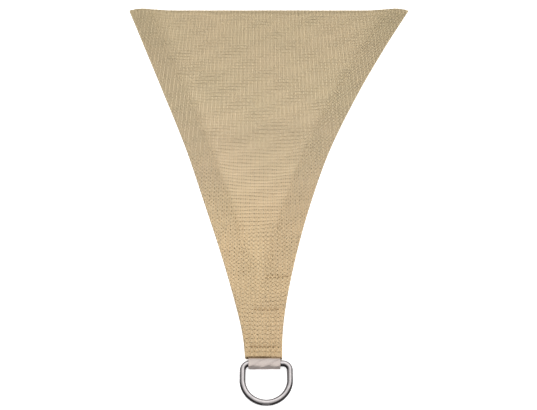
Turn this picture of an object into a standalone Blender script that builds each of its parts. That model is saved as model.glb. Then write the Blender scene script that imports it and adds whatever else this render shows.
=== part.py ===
"""Corner of a knitted shade sail: hemmed cloth, a webbing loop and a welded D-ring.

Units are metres and +Z is up. The corner lies on its back on a flat surface at
z = 0, with the ring towards -Y and the cut edge of the cloth towards +Y.
A "station" is a distance along the sail, counted from the cloth's narrow end:
stations grow towards the cut edge, and the ring lies at stations below zero.
"""

import math

import bmesh
import bpy
from mathutils import Vector

MM = 0.001

# Cloth.
CLOTH_LENGTH = 447.3 * MM
CLOTH_THICKNESS = 1.2 * MM
HEM_WIDTH = 30.0 * MM
HEM_MEETING_GAP = 1.0 * MM
LAYER_GAP = 0.6 * MM
TURN_DEPTH = 1.1 * MM

# The sail's edges. Both run in a long shallow curve into the corner.
OUTLINE_COLUMNS = ("station", "left", "right")
OUTLINE = (
    (0.0, -23.2, 12.8),
    (25.0, -26.6, 13.6),
    (60.0, -35.3, 18.2),
    (110.0, -49.9, 28.6),
    (170.0, -69.6, 44.9),
    (240.0, -93.2, 69.0),
    (320.0, -124.6, 105.8),
    (390.0, -152.6, 142.8),
    (447.3, -175.6, 175.6),
)

# Low folds in the panel between the hems: two ends of each crest, its height and half its width.
FOLD_COLUMNS = ("x_from", "station_from", "x_to", "station_to", "height", "half_width")
FOLDS = (
    (-72.0, 262.0, 74.0, 284.0, 3.0, 20.0),
    (-30.0, 178.0, 24.0, 190.0, 1.2, 14.0),
    (-92.0, 352.0, 62.0, 344.0, 1.6, 24.0),
    (-20.0, 404.0, 66.0, 398.0, 1.2, 18.0),
)
FOLD_FADE = 30.0 * MM

# The panel comes down to the surface beside each hem once it is wide enough to reach it.
FALL_WIDTH = 16.0 * MM
FALL_START_PANEL = 30.0 * MM
FALL_FULL_PANEL = 70.0 * MM
HEM_EDGE_CLEARANCE = 1.5 * MM
WIDEST_EDGE_SHARE = 0.35

# Webbing, sewn between the face and the hems and folded round the ring's bar.
WEBBING_THICKNESS = 1.4 * MM
WEBBING_FROM_X = -19.8 * MM
WEBBING_TO_X = 10.8 * MM
WEBBING_END = 56.0 * MM
WEBBING_GAP = 0.45 * MM
WEBBING_BEND = 1.5 * MM
FACE_LOWERS_FROM = 58.0 * MM
FACE_LOWERS_TO = 84.0 * MM

# D-ring of round wire.
WIRE_RADIUS = 3.0 * MM
WIRE_SIDES = 12
BAR_SLACK = 1.0 * MM
BAR_STATION = -6.9 * MM
RING_X = -2.7 * MM
RING_HALF_WIDTH = 22.5 * MM
RING_BOW_DEPTH = 21.3 * MM
RING_REACH = 36.8 * MM
RING_CORNER = 6.5 * MM
CORNER_STEPS = 6
BOW_STEPS = 21

# Mesh steps along the webbing, then across and along the cloth.
LEG_STEPS = 6
BEND_STEPS = 5
LOOP_STEPS = 32
HEM_STEPS = 3
TURN_STEPS = 5
FALL_STEPS = 4
PANEL_STEPS = 8
FINE_STEP = 7.0 * MM
FINE_UNTIL = 98.0 * MM
COARSE_STEP = 12.5 * MM

# Heights and places that follow from the sizes above.
SHEET_LOW = CLOTH_THICKNESS / 2
LOWER_LEG = CLOTH_THICKNESS + WEBBING_GAP + WEBBING_THICKNESS / 2
UPPER_LEG = LOWER_LEG + WEBBING_THICKNESS + WEBBING_GAP
FACE_OVER_WEBBING = UPPER_LEG + WEBBING_THICKNESS / 2 + WEBBING_GAP + CLOTH_THICKNESS / 2
FACE_OVER_HEM = CLOTH_THICKNESS + LAYER_GAP + CLOTH_THICKNESS / 2
LOOP_RADIUS = WIRE_RADIUS + BAR_SLACK + WEBBING_THICKNESS / 2
BAR_HEIGHT = LOOP_RADIUS + WEBBING_THICKNESS / 2
RING_TILT = math.asin((BAR_HEIGHT - WIRE_RADIUS) / RING_REACH)
RING_END = BAR_STATION - RING_REACH * math.cos(RING_TILT) - WIRE_RADIUS
MIDDLE_STATION = (CLOTH_LENGTH + RING_END) / 2


def smooth_step(value):
    """Ease from 0 to 1 while value goes from 0 to 1."""
    value = min(max(value, 0.0), 1.0)
    return value * value * (3.0 - 2.0 * value)


def blend(low, high, share):
    return low + (high - low) * share


def steps(low, high, count):
    """count values from low towards high, without high itself."""
    return [blend(low, high, index / count) for index in range(count)]


def outline_slope(index, column):
    """Slope of the edge at a row of the outline, from its neighbours."""
    before = OUTLINE[max(index - 1, 0)]
    after = OUTLINE[min(index + 1, len(OUTLINE) - 1)]
    return (after[column] - before[column]) / (after[0] - before[0])


def edge_at(station, side):
    """x of the sail's left or right edge, on a smooth curve through the outline's rows."""
    column = OUTLINE_COLUMNS.index(side)
    place = station / MM
    index = 0
    while index < len(OUTLINE) - 2 and place > OUTLINE[index + 1][0]:
        index += 1
    start, end = OUTLINE[index], OUTLINE[index + 1]
    span = end[0] - start[0]
    share = (place - start[0]) / span
    start_slope = outline_slope(index, column) * span
    end_slope = outline_slope(index + 1, column) * span
    value = (
        start[column] * (1 + 2 * share) * (1 - share) ** 2
        + end[column] * share**2 * (3 - 2 * share)
        + start_slope * share * (1 - share) ** 2
        - end_slope * share**2 * (1 - share)
    )
    return value * MM


def face_level(station):
    """Height of the face's middle over the hems: raised where the webbing lies inside."""
    lowered = smooth_step((station - FACE_LOWERS_FROM) / (FACE_LOWERS_TO - FACE_LOWERS_FROM))
    return blend(FACE_OVER_WEBBING, FACE_OVER_HEM, lowered)


def fold_height(x, station):
    """Height that the low folds add at one point of the panel."""
    total = 0.0
    for row in FOLDS:
        fold = dict(zip(FOLD_COLUMNS, (value * MM for value in row)))
        start = Vector((fold["x_from"], fold["station_from"]))
        crest = Vector((fold["x_to"], fold["station_to"])) - start
        offset = Vector((x, station)) - start
        along = offset.dot(crest.normalized())
        across = abs(offset.cross(crest.normalized())) / fold["half_width"]
        past_end = max(-along, along - crest.length, 0.0)
        if across < 1.0:
            profile = math.cos(across * math.pi / 2) ** 2
            total += fold["height"] * profile * smooth_step(1.0 - past_end / FOLD_FADE)
    return total


def cloth_path(station):
    """(x, z) points along the sheet's middle: left hem, left turn, face, right turn, right hem."""
    left, right = edge_at(station, "left"), edge_at(station, "right")
    centre = (left + right) / 2
    level = face_level(station)
    half_rise = (level - SHEET_LOW) / 2
    turn = min(half_rise, TURN_DEPTH)
    left_in, right_in = left + SHEET_LOW + turn, right - SHEET_LOW - turn
    hem_left = min(left + HEM_WIDTH, centre - HEM_MEETING_GAP / 2)
    hem_right = max(right - HEM_WIDTH, centre + HEM_MEETING_GAP / 2)

    span = right_in - left_in
    fall_left = min(hem_left + HEM_EDGE_CLEARANCE, left_in + WIDEST_EDGE_SHARE * span)
    fall_right = max(hem_right - HEM_EDGE_CLEARANCE, right_in - WIDEST_EDGE_SHARE * span)
    fall_width = min(FALL_WIDTH, (fall_right - fall_left) / 3)
    open_panel = hem_right - hem_left - FALL_START_PANEL
    depth = smooth_step(open_panel / (FALL_FULL_PANEL - FALL_START_PANEL))

    path = [(x, SHEET_LOW) for x in steps(hem_left, left_in, HEM_STEPS)]
    for angle in steps(0.0, math.pi, TURN_STEPS):
        path.append((left_in - turn * math.sin(angle), SHEET_LOW + half_rise * (1 - math.cos(angle))))

    face = steps(left_in, fall_left, HEM_STEPS)
    face += steps(fall_left, fall_left + fall_width, FALL_STEPS)
    face += steps(fall_left + fall_width, fall_right - fall_width, PANEL_STEPS)
    face += steps(fall_right - fall_width, fall_right, FALL_STEPS)
    face += steps(fall_right, right_in, HEM_STEPS)
    for x in face:
        inside = min(x - fall_left, fall_right - x) / fall_width
        fallen = depth * smooth_step(inside)
        path.append((x, blend(level, SHEET_LOW, fallen) + fallen * fold_height(x, station)))

    for angle in steps(0.0, math.pi, TURN_STEPS):
        path.append((right_in + turn * math.sin(angle), SHEET_LOW + half_rise * (1 + math.cos(angle))))
    path += [(x, SHEET_LOW) for x in steps(right_in, hem_right, HEM_STEPS)]
    path.append((hem_right, SHEET_LOW))
    return path


def cloth_stations():
    """Stations of the cloth's cross-sections, closer together where the webbing lies inside."""
    fine = steps(0.0, FINE_UNTIL, round(FINE_UNTIL / FINE_STEP))
    rest = CLOTH_LENGTH - FINE_UNTIL
    return fine + steps(FINE_UNTIL, CLOTH_LENGTH, round(rest / COARSE_STEP)) + [CLOTH_LENGTH]


def arc(centre, radius, start, end, count):
    """count + 1 points along an arc, its two angles in radians."""
    angles = [blend(start, end, index / count) for index in range(count + 1)]
    return [(centre[0] + radius * math.cos(a), centre[1] + radius * math.sin(a)) for a in angles]


def throat(bend_height):
    """Station of the bend between a leg and the loop, and the bend's angle seen from the bar."""
    reach = LOOP_RADIUS + WEBBING_BEND
    angle = math.asin((bend_height - BAR_HEIGHT) / reach)
    return BAR_STATION + reach * math.cos(angle), angle


def webbing_path():
    """(station, height) points along the webbing's middle: upper leg, loop round the bar, lower leg."""
    upper_bend, lower_bend = UPPER_LEG + WEBBING_BEND, LOWER_LEG - WEBBING_BEND
    upper_station, upper_angle = throat(upper_bend)
    lower_station, lower_angle = throat(lower_bend)
    upper_turn = (-math.pi / 2, upper_angle - math.pi)
    lower_turn = (lower_angle + math.pi, math.pi / 2)
    round_bar = (upper_angle, 2 * math.pi + lower_angle)

    path = [(station, UPPER_LEG) for station in steps(WEBBING_END, upper_station, LEG_STEPS)]
    path += arc((upper_station, upper_bend), WEBBING_BEND, *upper_turn, BEND_STEPS)
    path += arc((BAR_STATION, BAR_HEIGHT), LOOP_RADIUS, *round_bar, LOOP_STEPS)[1:]
    path += arc((lower_station, lower_bend), WEBBING_BEND, *lower_turn, BEND_STEPS)[1:]
    lower_leg = steps(WEBBING_END, lower_station, LEG_STEPS)
    return path + [(station, LOWER_LEG) for station in reversed(lower_leg)]


def strip_normals(path):
    """Unit normals of a flat path, to its left as it is walked."""
    normals = []
    for index in range(len(path)):
        before = Vector(path[max(index - 1, 0)])
        after = Vector(path[min(index + 1, len(path) - 1)])
        along = (after - before).normalized()
        normals.append(Vector((-along.y, along.x)))
    return normals


def strip_solid(name, sections, thickness, place):
    """One closed solid of a strip: sections holds (position, path) pairs, and place
    turns a position and a path point into a point in space."""
    mesh = bmesh.new()
    rings = []
    for position, path in sections:
        normals = strip_normals(path)
        sides = []
        for sign in (1, -1):
            offsets = [Vector(p) + n * (sign * thickness / 2) for p, n in zip(path, normals)]
            sides.append([mesh.verts.new(place(position, point)) for point in offsets])
        rings.append(sides[0] + sides[1][::-1])
    count = len(rings[0])
    for ring, following in zip(rings, rings[1:]):
        for index in range(count):
            after = (index + 1) % count
            mesh.faces.new((ring[index], ring[after], following[after], following[index]))
    for ring in (rings[0], rings[-1]):
        for index in range(count // 2 - 1):
            mesh.faces.new((ring[index], ring[index + 1], ring[count - 2 - index], ring[count - 1 - index]))
    return finish_mesh(name, mesh)


def finish_mesh(name, mesh):
    """Turn a bmesh into an object with outward faces and smooth shading on its round stretches."""
    bmesh.ops.recalc_face_normals(mesh, faces=mesh.faces)
    data = bpy.data.meshes.new(name)
    mesh.to_mesh(data)
    mesh.free()
    data.shade_smooth()
    data.set_sharp_from_angle(angle=math.radians(35))
    part = bpy.data.objects.new(name, data)
    bpy.context.scene.collection.objects.link(part)
    return part


def ring_path():
    """(point, direction) pairs once round the ring's middle line, in its own plane, bar at y = 0."""
    corner_x = RING_HALF_WIDTH - RING_CORNER
    turns = (
        (corner_x, -RING_CORNER, RING_CORNER, RING_CORNER, 90.0, 0.0, CORNER_STEPS),
        (0.0, RING_BOW_DEPTH - RING_REACH, RING_HALF_WIDTH, RING_BOW_DEPTH, 0.0, -180.0, BOW_STEPS),
        (-corner_x, -RING_CORNER, RING_CORNER, RING_CORNER, -180.0, -270.0, CORNER_STEPS),
    )
    path = []
    for centre_x, centre_y, radius_x, radius_y, start, end, count in turns:
        for index in range(count + 1):
            angle = math.radians(blend(start, end, index / count))
            across, along = math.cos(angle), math.sin(angle)
            outward = Vector((across / radius_x, along / radius_y, 0.0)).normalized()
            path.append((Vector((centre_x + radius_x * across, centre_y + radius_y * along, 0.0)), outward))
    return path


def d_ring():
    """Welded ring of round wire, its bar in the webbing and its bow down on the surface."""
    mesh = bmesh.new()
    rings = []
    for point, outward in ring_path():
        section = []
        for index in range(WIRE_SIDES):
            angle = 2 * math.pi * (index + 0.5) / WIRE_SIDES
            offset = outward * math.cos(angle) + Vector((0.0, 0.0, math.sin(angle)))
            section.append(mesh.verts.new(point + offset * WIRE_RADIUS))
        rings.append(section)
    for ring, following in zip(rings, rings[1:] + rings[:1]):
        for index in range(WIRE_SIDES):
            after = (index + 1) % WIRE_SIDES
            mesh.faces.new((ring[index], ring[after], following[after], following[index]))
    part = finish_mesh("d_ring", mesh)
    part.location = (RING_X, BAR_STATION - MIDDLE_STATION, BAR_HEIGHT)
    part.rotation_euler = (RING_TILT, 0.0, 0.0)
    return part


def sail_cloth():
    """The knitted sheet, with a hem turned under along each edge."""
    sections = [(station, cloth_path(station)) for station in cloth_stations()]

    def place(station, point):
        return (point[0], station - MIDDLE_STATION, point[1])

    return strip_solid("sail_cloth", sections, CLOTH_THICKNESS, place)


def webbing_loop():
    """Flat webbing folded round the bar, both legs between the cloth's layers."""
    sections = [(x, webbing_path()) for x in (WEBBING_FROM_X, WEBBING_TO_X)]

    def place(x, point):
        return (x, point[0] - MIDDLE_STATION, point[1])

    return strip_solid("webbing_loop", sections, WEBBING_THICKNESS, place)


def material(name, colour, roughness, metallic=0.0):
    finish = bpy.data.materials.new(name)
    finish.use_nodes = True
    shader = finish.node_tree.nodes["Principled BSDF"]
    shader.inputs["Base Color"].default_value = (*colour, 1.0)
    shader.inputs["Roughness"].default_value = roughness
    shader.inputs["Metallic"].default_value = metallic
    return finish


def main():
    for thing in list(bpy.data.objects):
        bpy.data.objects.remove(thing)
    sail_cloth().data.materials.append(material("sand knit", (0.58, 0.44, 0.27), 0.85))
    webbing_loop().data.materials.append(material("pale webbing", (0.66, 0.60, 0.57), 0.8))
    d_ring().data.materials.append(material("polished steel", (0.62, 0.61, 0.60), 0.18, 1.0))


main()
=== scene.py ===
"""Looks of the shade sail corner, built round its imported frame. Metres, +Z up.

The cloth is a folded ground sheet with the knit laid on its face as real strands: flat
tapes run across it in rows, and chains of loops run along it and tie the tapes down.
A "station" is a distance along the sail, counted from the cloth's narrow end. A row is
one tape, and a wale is one chain, counted from the sail's middle line.
"""

import math

import bpy
import numpy as np
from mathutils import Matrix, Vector
from mathutils.bvhtree import BVHTree


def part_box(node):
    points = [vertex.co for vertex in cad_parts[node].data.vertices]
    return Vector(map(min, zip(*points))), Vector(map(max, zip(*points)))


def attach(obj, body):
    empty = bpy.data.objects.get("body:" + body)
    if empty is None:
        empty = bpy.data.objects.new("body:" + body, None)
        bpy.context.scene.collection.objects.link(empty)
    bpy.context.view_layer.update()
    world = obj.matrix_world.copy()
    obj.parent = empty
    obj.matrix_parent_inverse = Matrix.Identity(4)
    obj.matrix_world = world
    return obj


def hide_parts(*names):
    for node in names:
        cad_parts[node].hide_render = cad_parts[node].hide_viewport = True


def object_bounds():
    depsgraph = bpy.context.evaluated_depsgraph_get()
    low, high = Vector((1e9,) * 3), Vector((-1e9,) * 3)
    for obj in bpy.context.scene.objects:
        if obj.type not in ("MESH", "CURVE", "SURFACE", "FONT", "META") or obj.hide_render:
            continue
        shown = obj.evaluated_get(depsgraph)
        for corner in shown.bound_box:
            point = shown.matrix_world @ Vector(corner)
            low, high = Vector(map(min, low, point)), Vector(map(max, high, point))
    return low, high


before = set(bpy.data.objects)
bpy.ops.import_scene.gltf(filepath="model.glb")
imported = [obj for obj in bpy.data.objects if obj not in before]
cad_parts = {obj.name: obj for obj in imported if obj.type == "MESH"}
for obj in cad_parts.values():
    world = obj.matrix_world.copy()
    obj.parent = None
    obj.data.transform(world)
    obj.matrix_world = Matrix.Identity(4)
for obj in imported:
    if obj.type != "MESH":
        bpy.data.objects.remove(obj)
cad_low, cad_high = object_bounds()

MM = 0.001

# Knit.
ROW_PITCH = 4.4 * MM
WALE_PITCH_TIP = 2.56 * MM
WALE_PITCH_CUT = 2.22 * MM
WALE_PAIRING = 0.06  # of a wale pitch, towards the partner wale
ZIGZAG = 0.24  # of a row pitch
TAPE_GAP = 0.04 * MM
PIT_IN_PANEL = 0.18 * MM
PIT_IN_HEM = 0.45 * MM
TAPE_RISE = 0.20 * MM
TAPE_STEPS_PER_WALE = 4
TAPE_PROFILE = ((-1.0, -0.25), (-0.5, 0.8), (0.5, 0.8), (1.0, -0.25), (0.0, -1.0))  # across, up
CALM_FROM, CALM_OVER = 190.0 * MM, 80.0 * MM  # the station where the face starts to lie smoother
LEG_RADIUS = 0.42 * MM
LEG_SPREAD, LEG_SWELL = 0.33 * MM, 0.22 * MM
LEG_LIFT, LEG_WAVE = 0.42 * MM, 0.10 * MM
LEG_PROFILE = ((-0.87, -0.5), (0.0, 1.0), (0.87, -0.5))  # across, up
LEG_STEPS_PER_ROW = 5
STRAND_BED = 0.3 * MM
WRAP_REACH = 2.0 * MM
EDGE_TUCK = 0.75 * MM

# Cloth construction, as in the solids.
HEM_WIDTH = 30.0 * MM
HEM_MEETING_GAP = 1.0 * MM
SHEET_THICKNESS = 1.0 * MM
FOLD_DEPTH = 1.7 * MM
EDGE_STRIP = 8.0 * MM
HEM_SEAMS = (25.0 * MM, 28.5 * MM)
HEM_SEAM_DIP, HEM_SEAM_SPREAD = 0.14 * MM, 1.3 * MM
CROSS_SEAMS = (  # station, and the share of the width where it starts and ends
    (9.5 * MM, 0.1, 0.99),
    (48.0 * MM, 0.3, 0.95),
    (84.5 * MM, 0.55, 0.98),
)
CROSS_SEAM_DIP, CROSS_SEAM_SPREAD = 1.0 * MM, 1.4 * MM
HEM_SEAMS_FROM = 94.0 * MM
STITCH_LENGTH = 3.2 * MM
STITCH_PITCH = 4.2 * MM
THREAD_RADIUS = 0.42 * MM

# Ring and webbing, as in the solids.
WIRE_RADIUS = 3.0 * MM
RING_HALF_WIDTH = 22.5 * MM
RING_BOW_DEPTH = 21.3 * MM
RING_REACH = 36.8 * MM
RING_CORNER = 6.5 * MM
RING_SIDES = 24
WEBBING_THICKNESS = 1.4 * MM
WEBBING_LOOP_RADIUS = 4.7 * MM
WEBBING_LEGS = (2.35 * MM, 4.2 * MM)
WEBBING_BEND = 1.5 * MM
WEBBING_COLUMNS = 72
WEBBING_CREASES = ((1.0, 4.5, 0.9), (0.7, -1.5, 0.8), (0.6, 9.5, 1.1))  # depth, place, width
CREASE_SLANT = 0.42
CREASE_SINK = 0.35 * MM

rng = np.random.default_rng(7)


# ---------------------------------------------------------------- shape of the cloth


def smooth_step(value):
    value = np.clip(value, 0.0, 1.0)
    return value * value * (3.0 - 2.0 * value)


def rising(value, start, over):
    """0 up to start, and smoothly up to 1 from there on."""
    return smooth_step((value - start) / over)


def near(distance, reach):
    """1 at no distance, and smoothly down to 0 at reach."""
    return smooth_step(1.0 - distance / reach)


def hump(value, middle, spread):
    return np.exp(-(((value - middle) / spread) ** 2))


def curve_through(where, at, values):
    """Smooth curve through the points (at, values)."""
    slopes = np.gradient(values, at)
    index = np.clip(np.searchsorted(at, where) - 1, 0, len(at) - 2)
    span = at[index + 1] - at[index]
    t = np.clip((where - at[index]) / span, 0.0, 1.0)
    return (
        values[index] * (1 + 2 * t) * (1 - t) ** 2
        + values[index + 1] * t * t * (3 - 2 * t)
        + slopes[index] * span * t * (1 - t) ** 2
        - slopes[index + 1] * span * t * t * (1 - t)
    )


def blurred(grid, passes):
    """The grid after that many passes of a 1-2-1 average along both axes."""
    for _ in range(passes):
        padded = np.pad(grid, 1, mode="edge")
        grid = (padded[:-2, 1:-1] + 2 * padded[1:-1, 1:-1] + padded[2:, 1:-1]) / 4
        padded = np.pad(grid, 1, mode="edge")
        grid = (padded[1:-1, :-2] + 2 * padded[1:-1, 1:-1] + padded[1:-1, 2:]) / 4
    return grid


class ClothShape:
    """The sail's edges and the height of its face, read from the frame's own sheet."""

    ACROSS, ALONG = 160, 240
    MISSING_CORNER = 3.0 * MM

    def __init__(self, node):
        points = np.array([v.co for v in node.data.vertices])
        self.low, self.high = points[:, 1].min(), points[:, 1].max()
        self.length = self.high - self.low
        rows = np.round(points[:, 1], 5)
        self.row_at = np.unique(rows)
        left = np.array([points[rows == y, 0].min() for y in self.row_at])
        right = np.array([points[rows == y, 0].max() for y in self.row_at])
        self.left_at, self.right_at = -self.outermost(-left), self.outermost(right)
        self.heights = self.read_heights(node)

    def outermost(self, side):
        """Fills in the rows whose outermost points the solid leaves out as needless."""
        filled = side.copy()
        for i in range(1, len(side) - 1):
            share = (self.row_at[i] - self.row_at[i - 1]) / (self.row_at[i + 1] - self.row_at[i - 1])
            straight = side[i - 1] + (side[i + 1] - side[i - 1]) * share
            if straight - side[i] > self.MISSING_CORNER:
                filled[i] = straight
        return filled

    def edges(self, y):
        """x of the left and right fold, at y."""
        return curve_through(y, self.row_at, self.left_at), curve_through(y, self.row_at, self.right_at)

    def face_ends(self, y):
        """x where the face ends and the folds begin, at y."""
        left, right = self.edges(y)
        return left + FOLD_DEPTH, right - FOLD_DEPTH

    def read_heights(self, node):
        tree = BVHTree.FromPolygons(
            [v.co for v in node.data.vertices], [tuple(p.vertices) for p in node.data.polygons]
        )
        margin = 0.02 * MM
        above = Vector((0.0, 0.0, 0.1))
        grid = np.zeros((self.ALONG, self.ACROSS))
        for i, y in enumerate(np.linspace(self.low + margin, self.high - margin, self.ALONG)):
            left, right = self.face_ends(np.array([y]))
            for j, x in enumerate(np.linspace(left[0], right[0], self.ACROSS)):
                hit = tree.ray_cast(Vector((x, y, 0.0)) + above, -above)[0]
                grid[i, j] = hit.z if hit else 0.0
        return blurred(grid, 4)

    def face_height(self, x, y):
        left, right = self.face_ends(y)
        i = np.clip((y - self.low) / self.length, 0, 1) * (self.ALONG - 1)
        j = np.clip((x - left) / (right - left), 0, 1) * (self.ACROSS - 1)
        i0 = np.minimum(i.astype(int), self.ALONG - 2)
        j0 = np.minimum(j.astype(int), self.ACROSS - 2)
        di, dj = i - i0, j - j0
        h = self.heights
        level = (
            h[i0, j0] * (1 - di) * (1 - dj)
            + h[i0 + 1, j0] * di * (1 - dj)
            + h[i0, j0 + 1] * (1 - di) * dj
            + h[i0 + 1, j0 + 1] * di * dj
        )
        return level + self.seam_dip(x, y) + self.hem_puff(x, y)

    def seam_dip(self, x, y):
        """Shallow troughs that the stitching pulls into the face."""
        left, right = self.edges(y)
        dip = np.zeros_like(x)
        for inset in HEM_SEAMS:
            for place in (left + inset, right - inset):
                dip -= HEM_SEAM_DIP * hump(x, place, HEM_SEAM_SPREAD)
        share = (x - left) / (right - left)
        for station, first, last in CROSS_SEAMS:
            trough = hump(y - self.low, station, CROSS_SEAM_SPREAD)
            sewn = rising(share, first, 0.1) * smooth_step((last - share) / 0.1)
            dip -= CROSS_SEAM_DIP * sewn * trough
        return dip

    def inset(self, x, y):
        """How far in from the nearer fold."""
        left, right = self.edges(y)
        return np.minimum(x - left, right - x)

    def hem_share(self, x, y):
        """How far across a hem, from 0 at its fold to 1 at its inner edge and past it."""
        return self.inset(x, y) / HEM_WIDTH

    def hem_puff(self, x, y):
        """The open end of each hem lifts a little at the cut edge, and its corner lies lower."""
        share = np.clip(self.hem_share(x, y), 0.0, 1.0)
        crest = 1.8 * MM * np.sin(math.pi * share) ** 1.2
        corner = 1.3 * MM * (1 - share) ** 4
        return near(self.high - y, 34 * MM) * (crest - corner)

    def pull_along(self, x, y):
        """How far the two ends of the sail stray from straight."""
        left, right = self.edges(y)
        across = (x - left) / (right - left)
        bulge = 0.6 * MM * (1.0 - (2.0 * across - 1.0) ** 2)
        slant = (1.2 + 0.7 * across) * MM
        share = np.clip(self.hem_share(x, y), 0.0, 1.0)
        at_tip = near(y - self.low, 7 * MM) * (bulge - slant)
        return at_tip + near(self.high - y, 12 * MM) * 0.9 * MM * smooth_step(share)

    def doubled(self, x, y):
        """1 over the hems, where the cloth is double, and 0 in the panel. The change between
        them is softer towards the cut."""
        soft = 6.0 * MM + 10.0 * MM * rising(y - self.low, 220 * MM, 160 * MM)
        return 1.0 - smooth_step((self.inset(x, y) - HEM_WIDTH + MM) / (2.0 * soft) + 0.5)

    def edge_strip(self, x, y):
        """1 at a fold, down to 0 past the strip beside it where the cloth is stretched tight."""
        return 1.0 - rising(self.inset(x, y), 0.55 * EDGE_STRIP, 0.7 * EDGE_STRIP)

    def skin(self, across, y, lift):
        """Points that lie lift above the cloth's outer surface. across is x on the face,
        and past the face's ends it runs on round the fold."""
        left, right = self.face_ends(y)
        inside = np.clip(across, left, right)
        past = across - inside
        rise = self.face_height(inside, y) / 2
        girth = math.pi * np.sqrt((FOLD_DEPTH**2 + rise**2) / 2)
        angle = np.clip(np.abs(past) / girth, 0.0, 0.8) * math.pi
        x = inside + np.sign(past) * (FOLD_DEPTH - EDGE_TUCK + lift) * np.sin(angle)
        z = rise + (rise + lift) * np.cos(angle)
        return np.stack([x, y + self.pull_along(inside, y), z], axis=-1)


cloth = ClothShape(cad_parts["sail_cloth"])


def ring_frame():
    """The ring's middle: the bar's centre, and its tilt about X with the bow on the floor."""
    low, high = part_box("d_ring")
    web_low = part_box("webbing_loop")[0]
    bar_height = WEBBING_LOOP_RADIUS + WEBBING_THICKNESS / 2
    bar = Vector(((low.x + high.x) / 2, web_low.y + bar_height, bar_height))
    return bar, math.asin((bar_height - WIRE_RADIUS) / RING_REACH)


# ---------------------------------------------------------------- meshes


def make_piece(name, points, faces, material, slot, smooth_angle=180, **attributes):
    """A piece of four-sided faces. A face whose last two corners are one is a triangle."""
    quads = faces[faces[:, 2] != faces[:, 3]]
    triangles = faces[faces[:, 2] == faces[:, 3]][:, :3]
    mesh = bpy.data.meshes.new(name)
    mesh.vertices.add(len(points))
    mesh.vertices.foreach_set("co", points.astype(np.float32).ravel())
    corners = np.concatenate([quads.ravel(), triangles.ravel()]).astype(np.int32)
    mesh.loops.add(len(corners))
    mesh.loops.foreach_set("vertex_index", corners)
    sizes = np.concatenate([np.full(len(quads), 4), np.full(len(triangles), 3)])
    mesh.polygons.add(len(sizes))
    starts = np.concatenate([[0], sizes.cumsum()[:-1]]).astype(np.int32)
    mesh.polygons.foreach_set("loop_start", starts)
    mesh.update(calc_edges=True)
    mesh.shade_smooth()
    if smooth_angle < 180:
        mesh.set_sharp_from_angle(angle=math.radians(smooth_angle))
    mesh.materials.append(material)
    for attribute, values in attributes.items():
        layer = mesh.attributes.new(attribute, "FLOAT", "POINT")
        layer.data.foreach_set("value", np.asarray(values, np.float32))
    piece = bpy.data.objects.new(name, mesh)
    bpy.context.scene.collection.objects.link(piece)
    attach(piece, "root")
    return piece


def tube_faces(length, sides, closed=False):
    """Faces of a tube whose points are listed ring by ring."""
    start = np.arange(length)[:, None] * sides
    if closed:
        following = np.roll(start, -1, axis=0)
    else:
        start, following = start[:-1], start[1:]
    ring = np.arange(sides)
    after = (ring + 1) % sides
    corners = [start + ring, start + after, following + after, following + ring]
    return np.stack(corners, axis=-1).reshape(-1, 4)


def flat_tube_faces(length, sides):
    """Faces of a closed flat tube, with both ends capped across."""
    i = np.arange(sides // 2 - 1)
    cap = np.stack([i, i + 1, sides - 2 - i, sides - 1 - i], axis=-1)
    return np.concatenate([tube_faces(length, sides), cap[:, ::-1], cap + (length - 1) * sides])


class Strands:
    """Closed strands gathered into one mesh, each with its own tone."""

    def __init__(self):
        self.points, self.faces, self.layers, self.tones = [], [], [], []
        self.count = 0

    def add(self, sections, layers):
        """sections is an array (length, sides, 3) of the rings of points along one strand."""
        length, sides = sections.shape[:2]
        ends = np.stack([sections[0].mean(axis=0), sections[-1].mean(axis=0)])
        first_end = length * sides
        ring = np.arange(sides)
        after = (ring + 1) % sides
        last = (length - 1) * sides
        tip = np.full(sides, first_end)
        start_cap = np.stack([after, ring, tip, tip], axis=-1)
        end_cap = np.stack([last + ring, last + after, tip + 1, tip + 1], axis=-1)
        self.faces.append(np.concatenate([tube_faces(length, sides), start_cap, end_cap]) + self.count)
        self.points.append(np.concatenate([sections.reshape(-1, 3), ends]))
        self.layers.append(np.concatenate([np.repeat(layers, sides), layers[[0, -1]]]))
        self.tones.append(np.full(first_end + 2, rng.uniform()))
        self.count += first_end + 2

    def piece(self, name, material):
        return make_piece(
            name, np.concatenate(self.points), np.concatenate(self.faces), material, "knit_cloth",
            layers=np.concatenate(self.layers), tone=np.concatenate(self.tones),
        )


# ---------------------------------------------------------------- materials

# How closely the drawn lines lie along x, y and z, per metre.
TAPE_LINES = (60.0, 2600.0, 600.0)
LOOP_LINES = (2600.0, 60.0, 600.0)
EVEN_LINES = (900.0, 900.0, 900.0)


def new_material(name):
    material = bpy.data.materials.new(name)
    material.use_nodes = True
    return material, material.node_tree, material.node_tree.nodes["Principled BSDF"]


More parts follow.
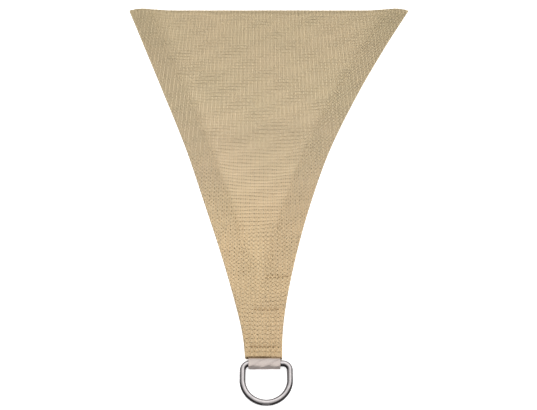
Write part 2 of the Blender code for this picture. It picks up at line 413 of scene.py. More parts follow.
class Nodes:
    """Adds and joins shader nodes in one tree."""

    def __init__(self, tree):
        self.tree = tree

    def add(self, kind, values=None, **settings):
        node = self.tree.nodes.new("ShaderNode" + kind)
        for name, value in settings.items():
            setattr(node, name, value)
        for name, value in (values or {}).items():
            if hasattr(value, "is_linked"):
                self.tree.links.new(value, node.inputs[name])
            else:
                node.inputs[name].default_value = value
        return node

    def link(self, source, target):
        self.tree.links.new(source, target)

    def math(self, operation, first, second=0.0):
        node = self.add("Math", {0: first, 1: second}, operation=operation)
        return node.outputs[0]

    def mix(self, share, first, second, blend="MIX"):
        node = self.add("Mix", data_type="RGBA", blend_type=blend)
        for index, value in ((0, share), (6, first), (7, second)):
            if hasattr(value, "is_linked"):
                self.tree.links.new(value, node.inputs[index])
            else:
                node.inputs[index].default_value = value
        return node.outputs[2]

    def remap(self, value, from_low, from_high, to_low, to_high, smooth=False):
        ends = {"From Min": from_low, "From Max": from_high, "To Min": to_low, "To Max": to_high}
        kind = "SMOOTHSTEP" if smooth else "LINEAR"
        node = self.add("MapRange", {"Value": value, **ends}, interpolation_type=kind)
        return node.outputs["Result"]

    def noise(self, position, scale, detail=3.0):
        """Noise over a position stretched by scale, which has one value for each axis."""
        stretched = self.add("VectorMath", {0: position, 1: scale}, operation="MULTIPLY").outputs[0]
        node = self.add("TexNoise", {"Vector": stretched, "Scale": 1.0, "Detail": detail})
        return node.outputs["Fac"]

    def ripple(self, value, pitch):
        """A sine of the value, with that pitch."""
        return self.math("SINE", self.math("MULTIPLY", value, 2 * math.pi / pitch))

    def position(self):
        return self.add("TexCoord").outputs["Object"]


def new_group(name, inputs, outputs):
    """A shader node group, with inputs given as (name, kind, default) and outputs as (name, kind)."""
    group = bpy.data.node_groups.new(name, "ShaderNodeTree")
    for socket, kind, default in inputs:
        made = group.interface.new_socket(name=socket, in_out="INPUT", socket_type="NodeSocket" + kind)
        made.default_value = default
    for socket, kind in outputs:
        group.interface.new_socket(name=socket, in_out="OUTPUT", socket_type="NodeSocket" + kind)
    nodes = Nodes(group)
    return group, nodes, group.nodes.new("NodeGroupInput"), group.nodes.new("NodeGroupOutput")


def sail_wash_group():
    """Slow changes of colour over the whole sail: along it, over its hems, and in soft blotches.
    Along it the colour grows greyer and dimmer towards the cut, partly the cloth's own tone and
    partly painted shade for light that falls off along the sail. Over the hems it is dimmer towards
    the cut, painted shade for less light shining through the double cloth. The strands' own colours
    draw together towards the cut."""
    group, nodes, given, out = new_group(
        "sail wash",
        [("Colour", "Color", (0.6, 0.45, 0.3, 1.0)), ("Layers", "Float", 0.0), ("Tone", "Float", 0.5)],
        [("Colour", "Color")],
    )
    place = nodes.add("SeparateXYZ", {"Vector": nodes.position()})
    along = nodes.remap(place.outputs["Y"], float(cloth.low), float(cloth.high), 0.0, 1.0)
    ramp = nodes.add("ValToRGB", {"Fac": along})
    # Partly painted shade: the colour grows greyer and dimmer towards the cut; the rest is the cloth's
    # own tone.
    stops = (  # share of the way along, colour
        (0.0, (0.91, 0.865, 0.785)),
        (0.05, (0.985, 0.955, 0.90)),
        (0.19, (0.98, 0.955, 0.905)),
        (0.34, (0.93, 0.925, 0.90)),
        (0.46, (0.90, 0.912, 0.93)),
        (0.575, (0.855, 0.88, 0.895)),
        (0.7, (0.85, 0.882, 0.888)),
        (0.835, (0.812, 0.835, 0.832)),
        (1.0, (0.787, 0.812, 0.795)),
    )
    elements = ramp.color_ramp.elements
    for index, (at, colour) in enumerate(stops):
        element = elements[index] if index < 2 else elements.new(at)
        element.position = at
        element.color = (*colour, 1.0)
    calm = nodes.remap(along, 0.42, 0.72, 0.0, 0.8, True)
    plain = nodes.mix(calm, given.outputs["Colour"], (0.70, 0.543, 0.345, 1.0))
    washed = nodes.mix(1.0, plain, ramp.outputs["Color"], "MULTIPLY")
    # Painted shade: over the hems the colour is dimmed, more towards the cut, for less light shining
    # through the double cloth.
    painted_hem_shade = nodes.math("MULTIPLY", given.outputs["Layers"], nodes.remap(along, 0.3, 1.0, 0.0, 1.0))
    washed = nodes.mix(painted_hem_shade, washed, nodes.mix(1.0, washed, (0.95, 0.955, 0.94, 1.0), "MULTIPLY"))
    blotch = nodes.remap(nodes.noise(nodes.position(), (16.0, 11.0, 11.0)), 0.3, 0.7, 0.0, 1.0, True)
    cool = nodes.mix(1.0, washed, (0.965, 0.98, 0.97, 1.0), "MULTIPLY")
    washed = nodes.mix(blotch, cool, washed)
    tone = nodes.remap(given.outputs["Tone"], 0.0, 1.0, 0.965, 1.01)
    # A round patch, up to 7 % paler, centred 62 mm left of the middle and 130 mm along from the narrow
    # end.
    paler_patch_at = (-0.062, float(cloth.low) + 0.13, 0.0)
    away = nodes.add("VectorMath", {0: nodes.position(), 1: paler_patch_at}, operation="DISTANCE")
    paler_patch = nodes.remap(away.outputs["Value"], 0.015, 0.075, 1.07, 1.0, True)
    tone = nodes.math("MULTIPLY", tone, paler_patch)
    scaled = nodes.add("VectorMath", {0: washed, "Scale": tone}, operation="SCALE").outputs[0]
    nodes.link(scaled, out.inputs["Colour"])
    return group


def drawn_plastic_group():
    """Fine lines along a drawn strand or tape, in its colour, gloss and height."""
    group, nodes, given, out = new_group(
        "drawn plastic",
        [
            ("Colour", "Color", (0.6, 0.45, 0.3, 1.0)),
            ("Line Scale", "Vector", TAPE_LINES),
            ("Line Depth", "Float", 0.1),
            ("Gloss", "Float", 0.5),
        ],
        [("Colour", "Color"), ("Roughness", "Float"), ("Height", "Float")],
    )
    lines = nodes.noise(nodes.position(), given.outputs["Line Scale"])
    lines = nodes.remap(lines, 0.3, 0.7, 0.0, 1.0)
    dark = nodes.math("SUBTRACT", 1.0, given.outputs["Line Depth"])
    scale = nodes.math("ADD", nodes.math("MULTIPLY", lines, given.outputs["Line Depth"]), dark)
    coloured = nodes.add("VectorMath", {0: given.outputs["Colour"], "Scale": scale}, operation="SCALE")
    nodes.link(coloured.outputs[0], out.inputs["Colour"])
    rough = nodes.math("ADD", given.outputs["Gloss"], nodes.math("MULTIPLY", lines, 0.14))
    nodes.link(rough, out.inputs["Roughness"])
    nodes.link(lines, out.inputs["Height"])
    return group


sail_wash = sail_wash_group()
drawn_plastic = drawn_plastic_group()


def place_group(nodes, group, **values):
    """Adds the group with its inputs set. An input's spaces are written as underscores."""
    node = nodes.tree.nodes.new("ShaderNodeGroup")
    node.node_tree = group
    for name, value in values.items():
        socket = node.inputs[name.replace("_", " ")]
        if hasattr(value, "is_linked"):
            nodes.link(value, socket)
        else:
            socket.default_value = value
    return node


def lay_plastic(nodes, shader, washed, **values):
    """Runs a washed colour through the drawn plastic, into the shader's colour and roughness."""
    plastic = place_group(nodes, drawn_plastic, Colour=washed.outputs["Colour"], **values)
    nodes.link(plastic.outputs["Colour"], shader.inputs["Base Color"])
    nodes.link(plastic.outputs["Roughness"], shader.inputs["Roughness"])
    return plastic.outputs["Height"]


def lay_bump(nodes, shader, height, strength, distance):
    bump = nodes.add("Bump", {"Height": height, "Strength": strength, "Distance": distance})
    nodes.link(bump.outputs["Normal"], shader.inputs["Normal"])


def strand_material(name, colour, line_scale, gloss, sheen, in_hem=1.0):
    """A drawn strand. Its colour is multiplied by in_hem where the cloth is double."""
    material, tree, shader = new_material(name)
    nodes = Nodes(tree)
    layers = nodes.add("Attribute", attribute_name="layers").outputs["Fac"]
    tone = nodes.add("Attribute", attribute_name="tone").outputs["Fac"]
    single = (*colour, 1.0)
    double = (*(channel * in_hem for channel in colour), 1.0)
    coloured = nodes.mix(layers, single, double)
    washed = place_group(nodes, sail_wash, Colour=coloured, Layers=layers, Tone=tone)
    lines = lay_plastic(nodes, shader, washed, Line_Scale=line_scale, Line_Depth=0.16, Gloss=gloss)
    lay_bump(nodes, shader, lines, 0.35, 0.06 * MM)
    shader.inputs["Specular IOR Level"].default_value = sheen
    return material


def ground_material():
    """The sheet under the strands, seen in the pits: its paler colour where the cloth is single is
    painted light shining through, and its dark colour where it is double is painted shade.
    """
    material, tree, shader = new_material("knit ground")
    nodes = Nodes(tree)
    layers = nodes.add("Attribute", attribute_name="layers").outputs["Fac"]
    under = nodes.noise(nodes.position(), (330.0, 330.0, 330.0), 1.0)
    under = nodes.remap(under, 0.42, 0.58, 0.0, 1.0)
    # Painted light where the cloth is single, painted shade where it is double.
    single = nodes.mix(under, (0.45, 0.345, 0.215, 1.0), (0.52, 0.40, 0.25, 1.0))
    double = nodes.mix(under, (0.24, 0.145, 0.06, 1.0), (0.44, 0.315, 0.17, 1.0))
    mixed = nodes.mix(layers, single, double)
    washed = place_group(nodes, sail_wash, Colour=mixed, Layers=0.0, Tone=0.5)
    lines = lay_plastic(nodes, shader, washed, Line_Scale=EVEN_LINES, Line_Depth=0.3, Gloss=0.7)
    place = nodes.add("SeparateXYZ", {"Vector": nodes.position()})
    weave_x = nodes.ripple(place.outputs["X"], WALE_PITCH_TIP)
    weave_y = nodes.ripple(place.outputs["Y"], ROW_PITCH)
    height = nodes.math("ADD", nodes.math("ADD", weave_x, weave_y), lines)
    lay_bump(nodes, shader, height, 0.7, 0.12 * MM)
    return material


def webbing_material():
    """Close woven pale webbing. The grey in its creases is painted shade, and the brown where it
    runs in under the cloth is painted shadow. Its light and dark sides are partly painted light and
    painted shade, set by the way the surface faces."""
    material, tree, shader = new_material("pale webbing")
    nodes = Nodes(tree)
    along = nodes.add("Attribute", attribute_name="along").outputs["Fac"]
    across = nodes.add("SeparateXYZ", {"Vector": nodes.position()}).outputs["X"]
    picks = nodes.ripple(along, 0.85 * MM)
    ends = nodes.ripple(across, 0.62 * MM)
    weave = nodes.math("MULTIPLY", picks, ends)
    crease = nodes.add("Attribute", attribute_name="crease").outputs["Fac"]
    fuzz = nodes.noise(nodes.position(), (700.0, 700.0, 700.0), 4.0)
    raised = nodes.remap(weave, -1.0, 1.0, 0.0, 1.0)
    pale = nodes.mix(raised, (0.35, 0.30, 0.275, 1.0), (0.42, 0.365, 0.34, 1.0))
    # Painted shade: the colour in the creases is greyed by up to half.
    painted_crease_shade = nodes.remap(crease, 0.0, 1.0, 0.0, 0.5)
    pale = nodes.mix(painted_crease_shade, pale, (0.26, 0.215, 0.20, 1.0))
    fluffy = nodes.remap(fuzz, 0.35, 0.75, 0.0, 0.35)
    pale = nodes.mix(fluffy, pale, (0.52, 0.47, 0.455, 1.0))
    # Painted light and shade: faces turned towards -Y are made lighter, faces turned towards +Y darker.
    turned = nodes.add("SeparateXYZ", {"Vector": nodes.add("NewGeometry").outputs["Normal"]})
    painted_light_side = nodes.remap(turned.outputs["Y"], 0.45, -0.5, 0.0, 1.0)
    darker = nodes.mix(1.0, pale, (0.84, 0.84, 0.83, 1.0), "MULTIPLY")
    lighter = nodes.mix(1.0, pale, (1.35, 1.33, 1.30, 1.0), "MULTIPLY")
    pale = nodes.mix(painted_light_side, darker, lighter)
    # Painted shade: faces that turn away from straight up go dark, down to near black under the roll.
    painted_underside_shade = nodes.remap(turned.outputs["Z"], 0.60, 0.84, 0.62, 0.0, True)
    pale = nodes.mix(painted_underside_shade, pale, (0.16, 0.13, 0.125, 1.0))
    # Painted shadow: the band goes brown from about 4 mm short of the cloth's narrow end and on under the
    # cloth.
    place = nodes.add("SeparateXYZ", {"Vector": nodes.position()})
    cloth_shadow_y = float(cloth.low) - 4.0 * MM
    painted_cloth_shadow = nodes.remap(place.outputs["Y"], cloth_shadow_y, cloth_shadow_y + MM, 0.0, 0.9, True)
    pale = nodes.mix(painted_cloth_shadow, pale, (0.24, 0.155, 0.085, 1.0))
    nodes.link(pale, shader.inputs["Base Color"])
    nodes.link(nodes.remap(fuzz, 0.3, 0.7, 0.62, 0.8), shader.inputs["Roughness"])
    height = nodes.math("ADD", nodes.math("MULTIPLY", weave, 0.6), fuzz)
    lay_bump(nodes, shader, height, 0.5, 0.09 * MM)
    return material


def steel_material():
    """Polished wire, with fine lines and a cloudy polish. Its dark underside and dark outer flank
    are painted reflection, and the dark side of the bar is painted shadow, all set by the way the
    surface faces. They are not marks on the steel."""
    material, tree, shader = new_material("polished steel")
    nodes = Nodes(tree)
    turned = nodes.add("SeparateXYZ", {"Vector": nodes.add("NewGeometry").outputs["Normal"]})
    place = nodes.add("SeparateXYZ", {"Vector": nodes.position()})
    bar_y = float(ring_frame()[0].y)
    cloud = nodes.noise(nodes.position(), (160.0, 160.0, 160.0), 3.0)
    cloudy = nodes.remap(cloud, 0.35, 0.7, 0.0, 1.0)
    bright = nodes.mix(cloudy, (0.24, 0.225, 0.227, 1.0), (0.30, 0.282, 0.279, 1.0))
    # Painted reflection: flanks that face outwards go dark, near black where they also face sideways.
    sideways = nodes.math("ABSOLUTE", turned.outputs["X"])
    outward = nodes.math("MULTIPLY", turned.outputs["Y"], -1.0)
    painted_flank_reflection = nodes.math("MULTIPLY", nodes.remap(sideways, 0.08, 0.35, 0.2, 2.4), outward)
    # Painted shadow: the side of the bar that faces outwards goes near black.
    by_bar = nodes.remap(place.outputs["Y"], bar_y - 6 * MM, bar_y - 2 * MM, 0.0, 1.4)
    painted_bar_shadow = nodes.math("MULTIPLY", by_bar, outward)
    painted_dark_share = nodes.remap(nodes.math("MAXIMUM", painted_flank_reflection, painted_bar_shadow), 0.05, 0.55, 0.0, 1.0)
    dark = nodes.mix(painted_dark_share, (0.15, 0.14, 0.145, 1.0), (0.010, 0.007, 0.008, 1.0))
    # Only faces turned up keep the bright colour and full metal; elsewhere the painted dark takes over,
    # with little metal.
    upward = nodes.math("SUBTRACT", turned.outputs["Z"], nodes.math("MULTIPLY", painted_dark_share, 0.22))
    on_top = nodes.remap(upward, 0.50, 0.86, 0.0, 1.0, True)
    nodes.link(nodes.mix(on_top, dark, bright), shader.inputs["Base Color"])
    nodes.link(nodes.remap(on_top, 0.0, 0.4, 0.1, 1.0), shader.inputs["Metallic"])
    shader.inputs["Specular IOR Level"].default_value = 0.15
    lines = nodes.noise(nodes.position(), (2200.0, 900.0, 2200.0), 4.0)
    nodes.link(nodes.remap(lines, 0.3, 0.7, 0.09, 0.24), shader.inputs["Roughness"])
    height = nodes.math("ADD", cloud, nodes.math("MULTIPLY", lines, 0.1))
    lay_bump(nodes, shader, height, 0.25, 0.25 * MM)
    return material


# The loops are coloured paler than the tapes of the same plastic: painted highlight on the raised loops
# and painted shade on the tapes between them. Over the hems in_hem makes the tapes dimmer and the loops
# paler, painted shade and highlight too.
tape_plastic = strand_material("sand tape", (0.615, 0.476, 0.302), TAPE_LINES, 0.5, 0.4, 0.90)
loop_plastic = strand_material("sand loops", (0.77, 0.598, 0.38), LOOP_LINES, 0.46, 0.45, 1.03)
seam_thread = strand_material("brown seam thread", (0.34, 0.225, 0.12), EVEN_LINES, 0.6, 0.3)
hem_thread = strand_material("sand hem thread", (0.70, 0.54, 0.34), EVEN_LINES, 0.6, 0.3)
ground = ground_material()
band = webbing_material()
steel = steel_material()


# ---------------------------------------------------------------- ground sheet


def sheet_path(y):
    """(x, z) points along the middle of the folded sheet at one y, left hem to right hem."""
    at = np.array([y])
    left, right = (float(v[0]) for v in cloth.face_ends(at))
    half = SHEET_THICKNESS / 2
    centre = (left + right) / 2
    hem_left = min(left - FOLD_DEPTH + HEM_WIDTH, centre - HEM_MEETING_GAP / 2)
    hem_right = max(right + FOLD_DEPTH - HEM_WIDTH, centre + HEM_MEETING_GAP / 2)
    band_width = min(HEM_WIDTH, (right - left) / 3)
    xs = np.concatenate([
        np.linspace(left, left + band_width, 16)[:-1],
        np.linspace(left + band_width, right - band_width, 40),
        np.linspace(right - band_width, right, 16)[1:],
    ])
    heights = cloth.face_height(xs, np.full(len(xs), y)) - half - STRAND_BED / 2

    def fold(x, sign, height, start, end):
        angles = np.linspace(start, end, 9)[1:-1]
        middle, rise = (height + half) / 2, (height - half) / 2
        out = x + sign * (FOLD_DEPTH - half) * np.sin(angles)
        return np.stack([out, middle + rise * np.cos(angles)], axis=-1)

    flap = np.linspace(0, 1, 8)
    left_flap = np.stack([hem_left + (left - hem_left) * flap, np.full(8, half)], axis=-1)
    right_flap = np.stack([right + (hem_right - right) * flap, np.full(8, half)], axis=-1)
    return np.concatenate([
        left_flap,
        fold(left, -1, heights[0], math.pi, 0.0),
        np.stack([xs, heights], axis=-1),
        fold(right, 1, heights[-1], 0.0, math.pi),
        right_flap,
    ])


def ground_sheet():
    rings = []
    for y in np.linspace(cloth.low, cloth.high, 181):
        path = sheet_path(y)
        along = np.gradient(path, axis=0)
        along /= np.linalg.norm(along, axis=1, keepdims=True)
        normal = np.stack([-along[:, 1], along[:, 0]], axis=-1) * SHEET_THICKNESS / 2
        outline = np.concatenate([path + normal, (path - normal)[::-1]])
        level = np.full(len(outline), y)
        inside = np.clip(outline[:, 0], *(v[0] for v in cloth.edges(np.array([y]))))
        pulled = level + cloth.pull_along(inside, level)
        rings.append(np.stack([outline[:, 0], pulled, outline[:, 1]], axis=-1))
    rings = np.array(rings)
    length, sides = rings.shape[:2]
    faces = flat_tube_faces(length, sides)[:, ::-1]
    points = rings.reshape(-1, 3)
    x, y = points[:, 0], np.clip(points[:, 1], cloth.low, cloth.high)
    layers = cloth.doubled(x, y) * (1.0 - 0.8 * cloth.edge_strip(x, y))
    piece = make_piece("knit_ground", points, faces, ground, "knit_cloth", 50, layers=layers)
    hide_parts("sail_cloth")
    return piece


# ---------------------------------------------------------------- knit


def wale_pitch(y):
    share = (y - cloth.low) / cloth.length
    return WALE_PITCH_TIP + (WALE_PITCH_CUT - WALE_PITCH_TIP) * share


def row_warp(x, y):
    """How far the rows are pulled along the sail: they hang a little towards the middle."""
    station = y - cloth.low
    left, right = cloth.edges(y)
    share = (x - left) / (right - left)
    sag = -2.6 * MM * np.sin(math.pi * share) * rising(station, 0.0, 120 * MM)
    wave = 1.0 * MM * np.sin(station / (31 * MM) + 5.0 * share)
    ripple = 0.5 * MM * np.sin(station / (11 * MM) + x / (13 * MM))
    flutter = 0.35 * MM * np.sin(station / (4.3 * MM) - x / (8 * MM))
    return sag + (wave + (ripple + flutter)) * rising(station, 0.0, 150 * MM)


def scatter(wale, row):
    """A settled random value from 0 to 1 for each stitch."""
    return np.mod(np.sin(wale * 12.9898 + row * 78.233) * 43758.5453, 1.0)


def relief(x, y):
    """At a place: how deep the pits go between rows, how strongly the rows stand as ridges, and
    how far the cloth is double."""
    station = y - cloth.low
    doubled = cloth.doubled(x, y)
    seamed = np.maximum(hump(cloth.inset(x, y), HEM_SEAMS[0], 9 * MM), 0.35 * doubled)
    share = 0.3 + 0.7 * rising(station, 40 * MM, 60 * MM)
    share = share * (1.0 - 0.8 * rising(station, 250 * MM, 110 * MM) * (1.0 - 0.5 * seamed))
    stretched = 1.0 + 0.9 * hump(station, 270 * MM, 60 * MM)
    pit = share * (PIT_IN_PANEL + (PIT_IN_HEM - PIT_IN_PANEL) * seamed * stretched)
    ridge = rising(station, 125 * MM, 50 * MM)
    ridge = ridge * (1.0 - 0.7 * rising(station, 205 * MM, 60 * MM))
    return pit, ridge * (1.0 - doubled), doubled


def zigzag(x, y, wales):
    """The loops pull each tape up between one pair of wales and down between the next."""
    station = y - cloth.low
    doubled = cloth.doubled(x, y)
    amount = 0.5 + 0.5 * rising(station, 50 * MM, 30 * MM)
    in_panel = 1.0 - 0.85 * rising(station, 120 * MM, 40 * MM)
    amount = amount * (doubled + (1.0 - doubled) * in_panel)
    return ZIGZAG * ROW_PITCH * amount * np.cos(math.pi * (wales - 0.5))


def tape_rows(strands, rows):
    """Flat tapes across the sail and a little way round its folds, with pits between them."""
    for row in rows:
        middle = cloth.low + (row + 0.5) * ROW_PITCH
        left, right = (float(v[0]) for v in cloth.face_ends(np.array([middle])))
        step = wale_pitch(middle) / TAPE_STEPS_PER_WALE
        across = np.arange(left - WRAP_REACH, right + WRAP_REACH, step)
        inside = np.clip(across, left, right)
        y = np.full(len(across), middle)
        wales = inside / wale_pitch(y)
        y = y + row_warp(inside, y) + zigzag(inside, y, wales)
        y = np.clip(y, cloth.low + 0.5 * ROW_PITCH, cloth.high - 0.5 * ROW_PITCH)
        wales = inside / wale_pitch(y)
        between = (1.0 - np.cos(2 * math.pi * wales)) / 2
        depth, ridge, doubled = relief(inside, y)
        depth = depth * (1.0 - 0.75 * cloth.edge_strip(inside, y))
        single = 0.9 * scatter(np.floor(wales), row)
        grouped = 0.7 * scatter(np.floor(wales / 3), row // 2)
        chance = 0.15 + single + grouped
        every_other = (np.floor(wales) + row) % 2
        skipped = rising(middle - cloth.low, 130 * MM, 90 * MM) * every_other
        pit = depth * between * chance * (1.0 - 0.85 * skipped) * (1.0 + 0.5 * skipped)
        calm = rising(y - cloth.low, CALM_FROM, CALM_OVER) * (1.0 - 0.5 * doubled)
        half_width = ROW_PITCH / 2 - TAPE_GAP - pit + 0.2 * MM * calm
        lift = 0.02 * MM - 0.06 * MM * np.cos(2 * math.pi * wales)
        rise = (0.35 + 0.65 * ridge) * (1.0 - 0.7 * calm) * TAPE_RISE
        sections = [cloth.skin(across, y + a * half_width, lift + h * rise) for a, h in TAPE_PROFILE]
        strands.add(np.stack(sections, axis=1), doubled)


def loop_chain(strands, wale, sign):
    """One leg of a wale's chain: it swells out over each tape and closes in between them."""
    steps = int(cloth.length / ROW_PITCH * LEG_STEPS_PER_ROW)
    y = np.linspace(cloth.low + 0.2 * MM, cloth.high - 0.2 * MM, steps)
    paired = wale + (WALE_PAIRING if wale % 2 == 0 else -WALE_PAIRING)
    x = paired * wale_pitch(y)
    left, right = cloth.face_ends(y)
    on_cloth = (x > left - WRAP_REACH) & (x < right + WRAP_REACH)
    if on_cloth.sum() < 6:
        return
    x, y, left, right = x[on_cloth], y[on_cloth], left[on_cloth], right[on_cloth]
    inside = np.clip(x, left, right)
    rows = (y - row_warp(inside, y) - cloth.low) / ROW_PITCH
    turn = rows % 1.0
    swell = np.sin(math.pi * turn)
    _, ridge, doubled = relief(inside, y)
    uneven = scatter(wale, np.floor(rows)) - 0.5
    swerve = 0.12 * MM * sign * uneven * swell
    spread = LEG_SPREAD + LEG_SWELL * swell**0.9 * (1.0 + 0.5 * uneven) + swerve
    wave = LEG_WAVE * (1.0 + 1.6 * ridge) * np.sin(2 * math.pi * (turn - 0.38))
    lift = LEG_LIFT * (1.0 - 0.35 * (1.0 - doubled)) + wave
    middle = x + sign * spread
    side = LEG_RADIUS * (0.9 + 0.2 * swell)
    sections = [cloth.skin(middle + a * side, y, lift + h * LEG_RADIUS) for a, h in LEG_PROFILE]
    strands.add(np.stack(sections, axis=1)[:, ::-1], doubled)


def knit():
    """All the strands, in pieces small enough to handle."""
    pieces = []
    row_count = int(cloth.length / ROW_PITCH)
    row_parts = (("tip", range(0, 62)), ("middle", range(62, 86)), ("cut", range(86, row_count)))
    for part, rows in row_parts:
        strands = Strands()
        tape_rows(strands, rows)
        pieces.append(strands.piece(f"row_tapes_{part}", tape_plastic))
    widest = int(cad_high.x / WALE_PITCH_CUT) + 2
    wales = range(-widest, widest + 1)
    first, last = widest - 12, widest + 14
    for part, chosen in (("left", wales[:first]), ("centre", wales[first:last]), ("right", wales[last:])):
        strands = Strands()
        for wale in chosen:
            for sign in (-1, 1):
                loop_chain(strands, wale, sign)
        pieces.append(strands.piece(f"loop_chains_{part}", loop_plastic))
    return pieces


# ---------------------------------------------------------------- seams


def sew(strands, xs, ys):
    """Stitches one after another along a line of points on the face."""
    travelled = np.concatenate([[0], np.cumsum(np.hypot(np.diff(xs), np.diff(ys)))])
    angles = np.arange(6) * math.pi / 3
    for start in np.arange(0.5 * STITCH_PITCH, travelled[-1] - STITCH_PITCH, STITCH_PITCH):
        share = np.linspace(0, 1, 7)
        at = start + STITCH_LENGTH * share
        x = np.interp(at, travelled, xs)
        y = np.interp(at, travelled, ys)
        along = np.stack([np.gradient(x), np.gradient(y)], axis=-1)
        along /= np.linalg.norm(along, axis=1, keepdims=True)
        rise = (1.25 * np.sin(math.pi * share) ** 0.5 - 0.3) * MM
        sections = []
        for angle in angles:
            side = THREAD_RADIUS * math.cos(angle)
            lift = rise + THREAD_RADIUS * math.sin(angle)
            sections.append(cloth.skin(x - along[:, 1] * side, y + along[:, 0] * side, lift))
        strands.add(np.stack(sections, axis=1), np.zeros(len(share)))


def seams():
    cross = Strands()
    for station, first, last in CROSS_SEAMS:
        y = cloth.low + station
        left, right = (float(v[0]) for v in cloth.edges(np.array([y])))
        xs = np.linspace(left + (right - left) * first, left + (right - left) * last, 60)
        xs = np.clip(xs, left + 2 * MM, right - 2 * MM)
        sew(cross, xs, y + row_warp(xs, np.full(60, y)))
    pieces = [cross.piece("cross_seams", seam_thread)]
    hems = Strands()
    ys = np.linspace(cloth.low + HEM_SEAMS_FROM, cloth.high - 1 * MM, 400)
    left, right = cloth.edges(ys)
    for inset in HEM_SEAMS:
        sew(hems, left + inset, ys)
        sew(hems, right - inset, ys)
    pieces.append(hems.piece("hem_seams", hem_thread))
    return pieces


# ---------------------------------------------------------------- webbing and ring


def ring_path():
    """(point, outward) pairs once round the ring's middle line, in its own plane, bar at y = 0."""
    corner = RING_HALF_WIDTH - RING_CORNER
    turns = (  # centre x and y, radius along x and y, first and last angle, steps
        (corner, -RING_CORNER, RING_CORNER, RING_CORNER, 90, 0, 16),
        (0.0, RING_BOW_DEPTH - RING_REACH, RING_HALF_WIDTH, RING_BOW_DEPTH, 0, -180, 96),
        (-corner, -RING_CORNER, RING_CORNER, RING_CORNER, -180, -270, 16),
    )
    path = []
    for x, y, radius_x, radius_y, start, end, steps in turns:
        for angle in np.radians(np.linspace(start, end, steps + 1)):
            across, along = math.cos(angle), math.sin(angle)
            outward = np.array([across / radius_x, along / radius_y, 0.0])
            point = np.array([x + radius_x * across, y + radius_y * along, 0.0])
            path.append((point, outward / np.linalg.norm(outward)))
    first, last = path[0], path[-1]
    for share in np.linspace(0, 1, 14)[1:-1]:
        path.append((last[0] + (first[0] - last[0]) * share, first[1]))
    return path


def ring():
    bar, tilt = ring_frame()
    angles = np.arange(RING_SIDES) * 2 * math.pi / RING_SIDES
    across, up = np.cos(angles)[:, None], np.sin(angles)[:, None] * np.array([0.0, 0.0, 1.0])
    rings = [point + WIRE_RADIUS * (across * outward + up) for point, outward in ring_path()]
    points = np.concatenate(rings)
    y = points[:, 1] * math.cos(tilt) - points[:, 2] * math.sin(tilt) + bar.y
    z = points[:, 1] * math.sin(tilt) + points[:, 2] * math.cos(tilt) + bar.z
    points = np.stack([points[:, 0] + bar.x, y, z], axis=-1)
    faces = tube_faces(len(rings), RING_SIDES, closed=True)
    piece = make_piece("wire_ring", points, faces, steel, "ring_steel")
    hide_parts("d_ring")


def webbing_path():
    """(y, z) points along the webbing's middle: upper leg, loop round the bar, lower leg."""
    bar, _ = ring_frame()
    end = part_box("webbing_loop")[1].y
    lower, upper = WEBBING_LEGS
    reach = WEBBING_LOOP_RADIUS + WEBBING_BEND

    def throat(height):
        angle = math.asin((height - bar.z) / reach)
        return bar.y + reach * math.cos(angle), angle

    def arc(centre_y, centre_z, radius, start, end_angle, count):
        angles = np.linspace(start, end_angle, count + 1)
        return [(centre_y + radius * math.cos(a), centre_z + radius * math.sin(a)) for a in angles]

    upper_y, upper_angle = throat(upper + WEBBING_BEND)
    lower_y, lower_angle = throat(lower - WEBBING_BEND)
    path = [(y, upper) for y in np.linspace(end, upper_y, 20)]
    path += arc(upper_y, upper + WEBBING_BEND, WEBBING_BEND, -math.pi / 2, upper_angle - math.pi, 6)[1:]
    path += arc(bar.y, bar.z, WEBBING_LOOP_RADIUS, upper_angle, 2 * math.pi + lower_angle, 72)[1:]
    path += arc(lower_y, lower - WEBBING_BEND, WEBBING_BEND, lower_angle + math.pi, math.pi / 2, 6)[1:]
    path += [(y, lower) for y in np.linspace(lower_y, end, 20)[1:]]
    return np.array(path)


def webbing():
    """The band, with slanting creases where it rolls round the bar and thin rounded edges."""
    low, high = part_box("webbing_loop")
    path = webbing_path()
    along = np.gradient(path, axis=0)
    along /= np.linalg.norm(along, axis=1, keepdims=True)
    normal = np.stack([-along[:, 1], along[:, 0]], axis=-1)
    steps = np.linalg.norm(np.diff(path, axis=0), axis=1)
    travelled = np.concatenate([[0], np.cumsum(steps)])
    share = (1 - np.cos(np.linspace(0, math.pi, WEBBING_COLUMNS))) / 2
    xs = low.x + (high.x - low.x) * share
    edge = np.clip(np.minimum(xs - low.x, high.x - xs) / (0.7 * MM), 0, 1)
    half = WEBBING_THICKNESS / 2 * np.sqrt(np.clip(1 - (1 - edge) ** 2, 0.0, 1))
    outer = np.zeros((len(path), WEBBING_COLUMNS, 3))
    inner = np.zeros((len(path), WEBBING_COLUMNS, 3))
    crease = np.zeros((len(path), WEBBING_COLUMNS))
    middle = travelled[-1] / 2
    on_roll = smooth_step(1.6 - np.abs(travelled - middle) / (13 * MM))
    for j, x in enumerate(xs):
        slant = (travelled - middle) / MM + (x - low.x) / MM * CREASE_SLANT
        folds = sum(depth * hump(slant, place, width) for depth, place, width in WEBBING_CREASES)
        crease[:, j] = folds * on_roll
        wave = 0.08 * MM * np.sin(x / (2.9 * MM) + travelled / (3.7 * MM)) * on_roll
        for grid, side, sink in ((outer, 1, 0.0), (inner, -1, CREASE_SINK)):
            offset = side * half[j] + wave - sink * crease[:, j]
            grid[:, j, 0] = x
            grid[:, j, 1:] = path + normal * offset[:, None]
    rings = np.concatenate([outer, inner[:, ::-1]], axis=1)
    length, sides = rings.shape[:2]
    piece = make_piece(
        "webbing_band", rings.reshape(-1, 3), flat_tube_faces(length, sides), band, "webbing", 60,
        crease=np.concatenate([crease, crease[:, ::-1]], axis=1).ravel(),
        along=np.repeat(travelled, sides),
    )
    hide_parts("webbing_loop")


# ---------------------------------------------------------------- lights, floor, camera

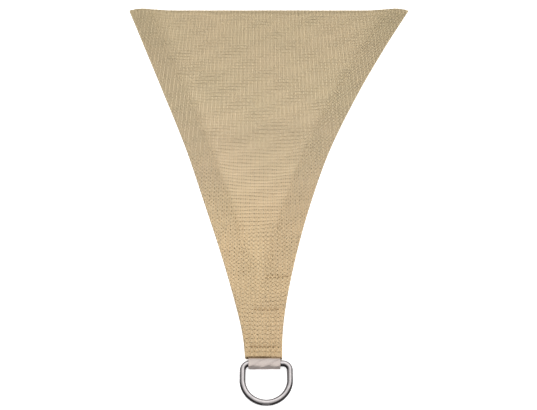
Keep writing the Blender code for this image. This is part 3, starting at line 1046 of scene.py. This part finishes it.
FLOOR_SIZE = 6.0
BRIGHTEST_SKY = (0.10, 0.25, 0.963)
CAMERA_DOWN = 61.0  # degrees below level
CAMERA_BACK, CAMERA_UP = 219.9 * MM, 701.8 * MM


def stage():
    bpy.ops.mesh.primitive_plane_add(size=FLOOR_SIZE, location=(0.0, 0.0, 0.0))
    floor = bpy.context.active_object
    floor.name = "floor"
    material, _, shader = new_material("white floor")
    shader.inputs["Base Color"].default_value = (0.94, 0.94, 0.94, 1.0)
    shader.inputs["Roughness"].default_value = 0.9
    shader.inputs["Emission Color"].default_value = (1.0, 1.0, 1.0, 1.0)
    shader.inputs["Emission Strength"].default_value = 0.6
    floor.data.materials.append(material)

    world = bpy.data.worlds.new("studio")
    bpy.context.scene.world = world
    world.use_nodes = True
    nodes = Nodes(world.node_tree)
    background = world.node_tree.nodes["Background"]
    direction = nodes.add("TexCoord").outputs["Generated"]
    facing = nodes.add("VectorMath", {0: direction, 1: BRIGHTEST_SKY}, operation="DOT_PRODUCT")
    sky = nodes.remap(facing.outputs["Value"], 0.3, 1.0, 0.24, 1.95, True)
    nodes.link(sky, background.inputs["Color"])
    background.inputs["Strength"].default_value = 1.03

    light = bpy.data.lights.new("soft key", "AREA")
    light.shape = "RECTANGLE"
    light.size, light.size_y = 3.0, 2.4
    light.energy = 28.5
    key = bpy.data.objects.new("soft key", light)
    bpy.context.scene.collection.objects.link(key)
    key.location = (0.5, 1.1, 2.1)
    key.rotation_euler = (Vector((0, 0.02, 0)) - key.location).to_track_quat("-Z", "Y").to_euler()


def camera():
    data = bpy.data.cameras.new("camera")
    data.lens = 50.0
    data.sensor_width = 36.0
    cam = bpy.data.objects.new("camera", data)
    bpy.context.scene.collection.objects.link(cam)
    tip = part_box("sail_cloth")[0].y
    cam.location = (-0.6 * MM, tip - CAMERA_BACK, CAMERA_UP)
    cam.rotation_euler = (math.radians(90 - CAMERA_DOWN), 0.0, 0.0)
    bpy.context.scene.camera = cam


bpy.context.scene.view_settings.view_transform = "Standard"

sheet = ground_sheet()
strands = knit()
webbing()
ring()
strands + seams()
stage()
camera()
